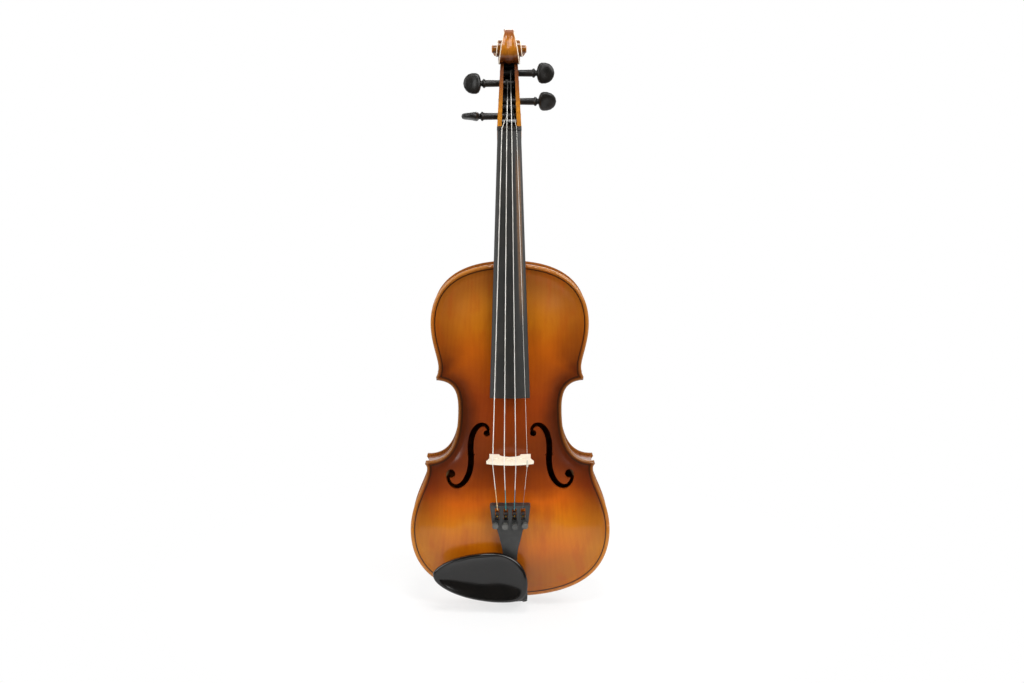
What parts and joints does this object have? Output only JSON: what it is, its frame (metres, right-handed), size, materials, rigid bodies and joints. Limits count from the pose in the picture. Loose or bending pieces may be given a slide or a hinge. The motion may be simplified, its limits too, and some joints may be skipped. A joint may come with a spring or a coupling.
{
  "type": "violin",
  "caption": "Full-size violin with arched hollow body, scrolled pegbox, ebony pegs and fingerboard, steel strings, tailpiece with built-in fine tuners and a clamped chin rest.",
  "frame": {"origin": "middle of the end button's outer face", "axes": "+Z along the body towards the scroll, -Y out of the front (the top plate), +X to the treble side"},
  "size_m": [0.2108, 0.1055, 0.6039],
  "materials": {
    "spruce_varnish": "amber to red-brown oil varnish over spruce",
    "maple_varnish": "red-brown varnish over flamed maple",
    "neck_varnish": "amber-brown varnish over maple",
    "purfling": "dyed inlay strip",
    "bare_spruce": "bare spruce",
    "bare_maple": "bare maple, waxed",
    "ebony": "oiled ebony",
    "chin_ebony": "polished ebony",
    "composite": "satin moulded composite",
    "tuner_black": "black finish",
    "steel": "plain",
    "string_steel": "wound steel",
    "ball_brass": "plain",
    "nickel": "nickel plate",
    "gut": "nylon cord",
    "sleeve": "soft tube",
    "cork": "cork sheet"
  },
  "bodies": {
    "body": {"top_plate": "spruce_varnish", "back_plate": "maple_varnish", "top_purfling": "purfling", "back_purfling": "purfling", "top_linings": "bare_spruce", "back_linings": "bare_spruce", "corner_blocks": "bare_spruce", "upper_block": "bare_spruce", "lower_block": "bare_spruce", "bass_bar": "bare_spruce", "sound_post": "bare_spruce", "neck": "neck_varnish", "fingerboard": "ebony", "nut": "ebony", "saddle": "ebony", "end_button": "ebony", "tail_gut": "gut", "e_string_sleeve": "sleeve", "bridge": "bare_maple", "tailpiece": "composite", "tuner_pivots": "steel", "chinrest": "chin_ebony", "chinrest_cork": "cork", "clamp_posts": "nickel", "rib_upper_bass": "maple_varnish", "rib_upper_treble": "maple_varnish", "rib_middle_bass": "maple_varnish", "rib_middle_treble": "maple_varnish", "rib_lower_bass": "maple_varnish", "rib_lower_treble": "maple_varnish", "string_g": "string_steel", "string_d": "string_steel", "string_a": "string_steel", "string_e": "string_steel"},
    "peg_g": {"peg_g": "ebony", "winding_g": "string_steel"},
    "tuner_screw_g": {"tuner_screw_g": "tuner_black"},
    "tuner_lever_g": {"tuner_lever_g": "tuner_black", "string_ball_g": "ball_brass"},
    "peg_d": {"peg_d": "ebony", "winding_d": "string_steel"},
    "tuner_screw_d": {"tuner_screw_d": "tuner_black"},
    "tuner_lever_d": {"tuner_lever_d": "tuner_black", "string_ball_d": "ball_brass"},
    "peg_a": {"peg_a": "ebony", "winding_a": "string_steel"},
    "tuner_screw_a": {"tuner_screw_a": "tuner_black"},
    "tuner_lever_a": {"tuner_lever_a": "tuner_black", "string_ball_a": "ball_brass"},
    "peg_e": {"peg_e": "ebony", "winding_e": "string_steel"},
    "tuner_screw_e": {"tuner_screw_e": "tuner_black"},
    "tuner_lever_e": {"tuner_lever_e": "tuner_black", "string_ball_e": "ball_brass"},
    "clamp_barrel_bass": {"clamp_barrel_bass": "nickel"},
    "clamp_hook_bass": {"clamp_hook_bass": "nickel", "hook_cork_bass": "cork"},
    "clamp_barrel_treble": {"clamp_barrel_treble": "nickel"},
    "clamp_hook_treble": {"clamp_hook_treble": "nickel", "hook_cork_treble": "cork"}
  },
  "joints": [
    {"name": "peg_g_turn", "type": "hinge", "parent": "body", "child": "peg_g", "pos_m": [0, 0.00225, 0.51504], "axis": [1, 0, 0], "range_deg": [-1350, 90]},
    {"name": "peg_d_turn", "type": "hinge", "parent": "body", "child": "peg_d", "pos_m": [0, 0.01429, 0.54835], "axis": [1, 0, 0], "range_deg": [-1350, 90]},
    {"name": "peg_a_turn", "type": "hinge", "parent": "body", "child": "peg_a", "pos_m": [0, 0.01807, 0.55881], "axis": [1, 0, 0], "range_deg": [-1350, 90]},
    {"name": "peg_e_turn", "type": "hinge", "parent": "body", "child": "peg_e", "pos_m": [0, 0.00767, 0.53005], "axis": [1, 0, 0], "range_deg": [-1350, 90]},
    {"name": "tuner_screw_g_turn", "type": "hinge", "parent": "body", "child": "tuner_screw_g", "pos_m": [-0.0155, -0.04204, 0.09624], "axis": [0, -0.9827, -0.185], "range_deg": [0, 900]},
    {"name": "tuner_lever_g_tip", "type": "hinge", "parent": "body", "child": "tuner_lever_g", "pos_m": [-0.0134, -0.03879, 0.10439], "axis": [1, 0, 0], "range_deg": [0, 7.5]},
    {"name": "tuner_screw_d_turn", "type": "hinge", "parent": "body", "child": "tuner_screw_d", "pos_m": [-0.00517, -0.04204, 0.09624], "axis": [0, -0.9827, -0.185], "range_deg": [0, 900]},
    {"name": "tuner_lever_d_tip", "type": "hinge", "parent": "body", "child": "tuner_lever_d", "pos_m": [-0.00447, -0.03879, 0.10439], "axis": [1, 0, 0], "range_deg": [0, 7.5]},
    {"name": "tuner_screw_a_turn", "type": "hinge", "parent": "body", "child": "tuner_screw_a", "pos_m": [0.00517, -0.04204, 0.09624], "axis": [0, -0.9827, -0.185], "range_deg": [0, 900]},
    {"name": "tuner_lever_a_tip", "type": "hinge", "parent": "body", "child": "tuner_lever_a", "pos_m": [0.00447, -0.03879, 0.10439], "axis": [1, 0, 0], "range_deg": [0, 7.5]},
    {"name": "tuner_screw_e_turn", "type": "hinge", "parent": "body", "child": "tuner_screw_e", "pos_m": [0.0155, -0.04204, 0.09624], "axis": [0, -0.9827, -0.185], "range_deg": [0, 900]},
    {"name": "tuner_lever_e_tip", "type": "hinge", "parent": "body", "child": "tuner_lever_e", "pos_m": [0.0134, -0.03879, 0.10439], "axis": [1, 0, 0], "range_deg": [0, 7.5]},
    {"name": "clamp_bass_turn", "type": "hinge", "parent": "body", "child": "clamp_barrel_bass", "pos_m": [-0.0154, 0, 0.0078], "axis": [0, 1, 0], "range_deg": [0, 1170]},
    {"name": "clamp_bass_draw", "type": "slide", "parent": "body", "child": "clamp_hook_bass", "axis": [0, 1, 0], "range_m": [0, 0.00325]},
    {"name": "clamp_treble_turn", "type": "hinge", "parent": "body", "child": "clamp_barrel_treble", "pos_m": [0.0154, 0, 0.0078], "axis": [0, 1, 0], "range_deg": [0, 1170]},
    {"name": "clamp_treble_draw", "type": "slide", "parent": "body", "child": "clamp_hook_treble", "axis": [0, 1, 0], "range_m": [0, 0.00325]}
  ],
  "couplings": [
    {"joint": "tuner_lever_g_tip", "follows": "tuner_screw_g_turn", "ratio": 0.0083333},
    {"joint": "tuner_lever_d_tip", "follows": "tuner_screw_d_turn", "ratio": 0.0083333},
    {"joint": "tuner_lever_a_tip", "follows": "tuner_screw_a_turn", "ratio": 0.0083333},
    {"joint": "tuner_lever_e_tip", "follows": "tuner_screw_e_turn", "ratio": 0.0083333},
    {"joint": "clamp_bass_draw", "follows": "clamp_bass_turn", "m_per_rad": 0.00015915},
    {"joint": "clamp_treble_draw", "follows": "clamp_treble_turn", "m_per_rad": 0.00015915}
  ]
}
